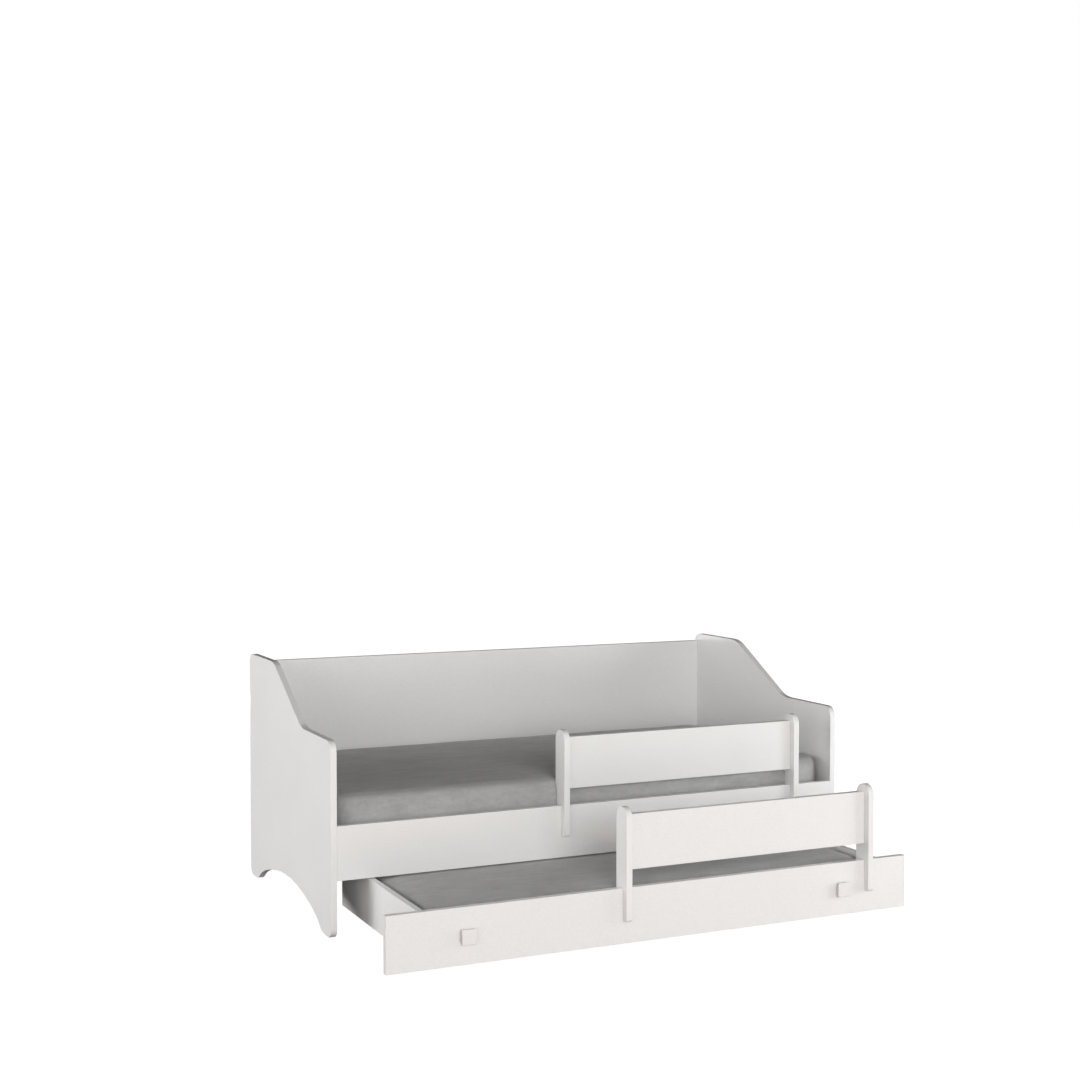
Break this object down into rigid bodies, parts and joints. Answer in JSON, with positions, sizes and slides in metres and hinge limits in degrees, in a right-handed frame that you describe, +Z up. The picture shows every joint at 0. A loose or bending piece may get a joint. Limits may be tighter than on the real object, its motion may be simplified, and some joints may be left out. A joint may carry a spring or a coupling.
{
  "type": "toddler bed",
  "caption": "White low day bed for a toddler with shaped ends, a rolling drawer bed under it, grey mattresses and hook-on guard boards.",
  "frame": {"origin": "on the floor, at the centre of the whole bed's box with the drawer pulled out", "axes": "+X along the bed to the right seen from the open front, +Y from the front to the back panel, +Z up"},
  "size_m": [1.64, 1.239, 0.7],
  "materials": {
    "white_board": "satin",
    "knob_plastic": "satin",
    "mattress_fabric": "matte",
    "timber": "matte",
    "zinc_steel": "satin",
    "wheel_nylon": "satin"
  },
  "bodies": {
    "bed_frame": {"left_side_panel": "white_board", "right_side_panel": "white_board", "front_rail": "white_board", "back_panel": "white_board", "rail_cam_left_lower": "zinc_steel", "rail_cam_left_upper": "zinc_steel", "rail_cam_right_lower": "zinc_steel", "rail_cam_right_upper": "zinc_steel", "back_cam_left_lower": "zinc_steel", "back_cam_left_upper": "zinc_steel", "back_cam_right_lower": "zinc_steel", "back_cam_right_upper": "zinc_steel", "front_slat_batten": "timber", "rear_slat_batten": "timber", "slat_01": "timber", "slat_02": "timber", "slat_03": "timber", "slat_04": "timber", "slat_05": "timber", "slat_06": "timber", "slat_07": "timber", "slat_08": "timber", "slat_09": "timber", "slat_10": "timber", "slat_11": "timber", "slat_12": "timber", "upper_mattress": "mattress_fabric"},
    "upper_guard": {"upper_guard_board": "white_board", "upper_guard_left_post": "white_board", "upper_guard_right_post": "white_board"},
    "drawer": {"drawer_front": "white_board", "drawer_left_side": "white_board", "drawer_right_side": "white_board", "drawer_back": "white_board", "drawer_bottom": "white_board", "drawer_left_bearer": "timber", "drawer_right_bearer": "timber", "left_knob": "knob_plastic", "right_knob": "knob_plastic", "left_knob_screw": "zinc_steel", "right_knob_screw": "zinc_steel", "castor_bracket_front_left": "zinc_steel", "castor_bracket_front_right": "zinc_steel", "castor_bracket_rear_left": "zinc_steel", "castor_bracket_rear_right": "zinc_steel", "castor_axle_front_left": "zinc_steel", "castor_axle_front_right": "zinc_steel", "castor_axle_rear_left": "zinc_steel", "castor_axle_rear_right": "zinc_steel", "lower_mattress": "mattress_fabric"},
    "drawer_guard": {"drawer_guard_board": "white_board", "drawer_guard_left_post": "white_board", "drawer_guard_right_post": "white_board"},
    "castor_wheel_front_left": {"castor_wheel_front_left": "wheel_nylon"},
    "castor_wheel_front_right": {"castor_wheel_front_right": "wheel_nylon"},
    "castor_wheel_rear_left": {"castor_wheel_rear_left": "wheel_nylon"},
    "castor_wheel_rear_right": {"castor_wheel_rear_right": "wheel_nylon"}
  },
  "joints": [
    {"name": "upper_guard_lift", "type": "slide", "parent": "bed_frame", "child": "upper_guard", "axis": [0, 0, 1], "range_m": [0, 0.12]},
    {"name": "drawer_slide", "type": "slide", "parent": "bed_frame", "child": "drawer", "axis": [0, -1, 0], "range_m": [-0.32, 0.22]},
    {"name": "drawer_guard_lift", "type": "slide", "parent": "drawer", "child": "drawer_guard", "axis": [0, 0, 1], "range_m": [0, 0.12]},
    {"name": "castor_spin_front_left", "type": "hinge", "parent": "drawer", "child": "castor_wheel_front_left", "pos_m": [-0.64, -0.4955, 0.02], "axis": [1, 0, 0], "continuous": true},
    {"name": "castor_spin_front_right", "type": "hinge", "parent": "drawer", "child": "castor_wheel_front_right", "pos_m": [0.64, -0.4955, 0.02], "axis": [1, 0, 0], "continuous": true},
    {"name": "castor_spin_rear_left", "type": "hinge", "parent": "drawer", "child": "castor_wheel_rear_left", "pos_m": [-0.64, -0.0765, 0.02], "axis": [1, 0, 0], "continuous": true},
    {"name": "castor_spin_rear_right", "type": "hinge", "parent": "drawer", "child": "castor_wheel_rear_right", "pos_m": [0.64, -0.0765, 0.02], "axis": [1, 0, 0], "continuous": true}
  ],
  "couplings": [
    {"joint": "castor_spin_front_left", "follows": "drawer_slide", "rad_per_m": 50},
    {"joint": "castor_spin_front_right", "follows": "drawer_slide", "rad_per_m": 50},
    {"joint": "castor_spin_rear_left", "follows": "drawer_slide", "rad_per_m": 50},
    {"joint": "castor_spin_rear_right", "follows": "drawer_slide", "rad_per_m": 50}
  ]
}
